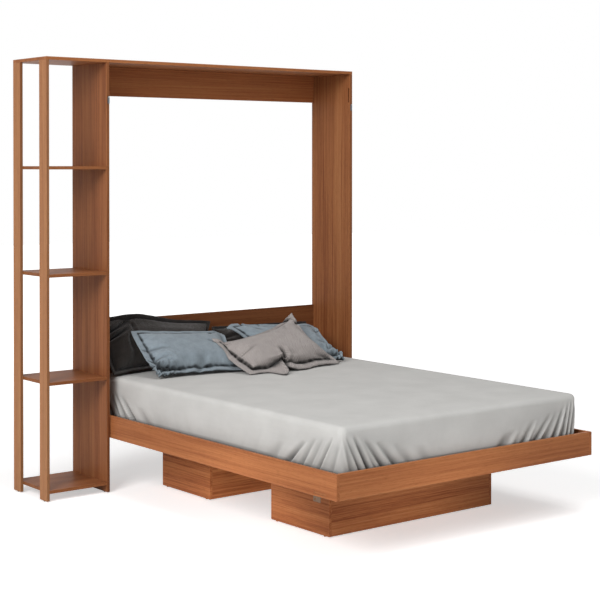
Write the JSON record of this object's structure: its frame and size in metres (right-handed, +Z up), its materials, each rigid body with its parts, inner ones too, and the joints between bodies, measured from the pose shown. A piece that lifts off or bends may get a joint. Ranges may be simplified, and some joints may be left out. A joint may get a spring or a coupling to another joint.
{
  "type": "wall bed",
  "caption": "Fold-up double wall bed: open-backed wood cabinet with a side shelf tower, tilting bed frame on box feet, mattress and pillows.",
  "frame": {"origin": "on the floor, at the bottom centre of the whole object's bounding box with the bed lowered", "axes": "+Z up, +Y from the bed's foot to the wall, +X from the shelf tower across the bed to the right side panel"},
  "size_m": [1.852, 2.022, 2.07],
  "materials": {
    "laminate": "satin",
    "steel": "satin",
    "strut_enamel": "satin",
    "glide_plastic": "matte",
    "bed_sheet": "matte",
    "charcoal_cloth": "matte",
    "blue_grey_cloth": "matte",
    "warm_grey_weave": "matte"
  },
  "bodies": {
    "cabinet": {"left_side_panel": "laminate", "right_side_panel": "laminate", "top_panel": "laminate", "upper_back_rail": "laminate", "headboard_panel": "laminate", "tower_front_post": "laminate", "tower_rear_post": "laminate", "tower_base_shelf": "laminate", "tower_shelf_1": "laminate", "tower_shelf_2": "laminate", "tower_shelf_3": "laminate", "tower_front_glide": "glide_plastic", "tower_rear_glide": "glide_plastic", "left_front_glide": "glide_plastic", "left_rear_glide": "glide_plastic", "right_front_glide": "glide_plastic", "right_rear_glide": "glide_plastic", "left_pivot_bolt": "steel", "right_pivot_bolt": "steel", "left_strut_anchor": "steel", "right_strut_anchor": "steel"},
    "bed": {"bed_left_rail": "laminate", "bed_right_rail": "laminate", "bed_foot_rail": "laminate", "bed_head_rail": "laminate", "left_base_board": "laminate", "right_base_board": "laminate", "left_batten": "laminate", "right_batten": "laminate", "foot_batten": "laminate", "head_batten": "laminate", "front_box_left_board": "laminate", "front_box_right_board": "laminate", "front_box_front_board": "laminate", "front_box_rear_board": "laminate", "rear_box_left_board": "laminate", "rear_box_right_board": "laminate", "rear_box_front_board": "laminate", "rear_box_rear_board": "laminate", "left_grip_angle": "steel", "right_grip_angle": "steel", "left_hinge_plate": "steel", "right_hinge_plate": "steel", "mattress": "bed_sheet", "charcoal_pillow_left": "charcoal_cloth", "charcoal_pillow_right": "charcoal_cloth", "blue_pillow_left": "blue_grey_cloth", "blue_pillow_right": "blue_grey_cloth", "grey_pillow": "warm_grey_weave"},
    "left_strut_tube": {"left_strut_cylinder": "strut_enamel"},
    "right_strut_tube": {"right_strut_cylinder": "strut_enamel"},
    "left_strut_piston": {"left_strut_rod": "steel"},
    "right_strut_piston": {"right_strut_rod": "steel"},
    "left_turn_latch": {"left_latch": "steel"},
    "right_turn_latch": {"right_latch": "steel"},
    "left_lock": {"left_lock_tongue": "laminate"},
    "right_lock": {"right_lock_tongue": "laminate"}
  },
  "joints": [
    {"name": "bed_fold", "type": "hinge", "parent": "cabinet", "child": "bed", "pos_m": [0.161, 0.726, 0.307], "axis": [-1, 0, 0], "range_deg": [0, 90], "deforming": ["charcoal_pillow_left", "charcoal_pillow_right", "blue_pillow_left", "blue_pillow_right", "grey_pillow"]},
    {"name": "left_strut_swing", "type": "hinge", "parent": "cabinet", "child": "left_strut_tube", "pos_m": [-0.547, 0.864, 0.498], "axis": [-1, 0, 0], "range_deg": [0, 17.1]},
    {"name": "left_strut_stroke", "type": "slide", "parent": "left_strut_tube", "child": "left_strut_piston", "axis": [0, -0.186, -0.9825], "range_m": [0, 0.1183]},
    {"name": "right_strut_swing", "type": "hinge", "parent": "cabinet", "child": "right_strut_tube", "pos_m": [0.869, 0.864, 0.498], "axis": [-1, 0, 0], "range_deg": [0, 17.1]},
    {"name": "right_strut_stroke", "type": "slide", "parent": "right_strut_tube", "child": "right_strut_piston", "axis": [0, -0.186, -0.9825], "range_m": [0, 0.1183]},
    {"name": "left_latch_turn", "type": "hinge", "parent": "cabinet", "child": "left_turn_latch", "pos_m": [-0.595, 0.681, 1.889], "axis": [0, -1, 0], "range_deg": [0, 90]},
    {"name": "right_latch_turn", "type": "hinge", "parent": "cabinet", "child": "right_turn_latch", "pos_m": [0.917, 0.681, 1.889], "axis": [0, 1, 0], "range_deg": [0, 90]},
    {"name": "left_lock_slide", "type": "slide", "parent": "bed", "child": "left_lock", "axis": [-1, 0, 0], "range_m": [0, 0.013]},
    {"name": "right_lock_slide", "type": "slide", "parent": "bed", "child": "right_lock", "axis": [1, 0, 0], "range_m": [0, 0.013]}
  ],
  "couplings": [
    {"joint": "left_strut_swing", "follows": "bed_fold", "ratio": 0.18995},
    {"joint": "left_strut_stroke", "follows": "bed_fold", "m_per_rad": 0.075265},
    {"joint": "right_strut_swing", "follows": "bed_fold", "ratio": 0.18995},
    {"joint": "right_strut_stroke", "follows": "bed_fold", "m_per_rad": 0.075265}
  ]
}
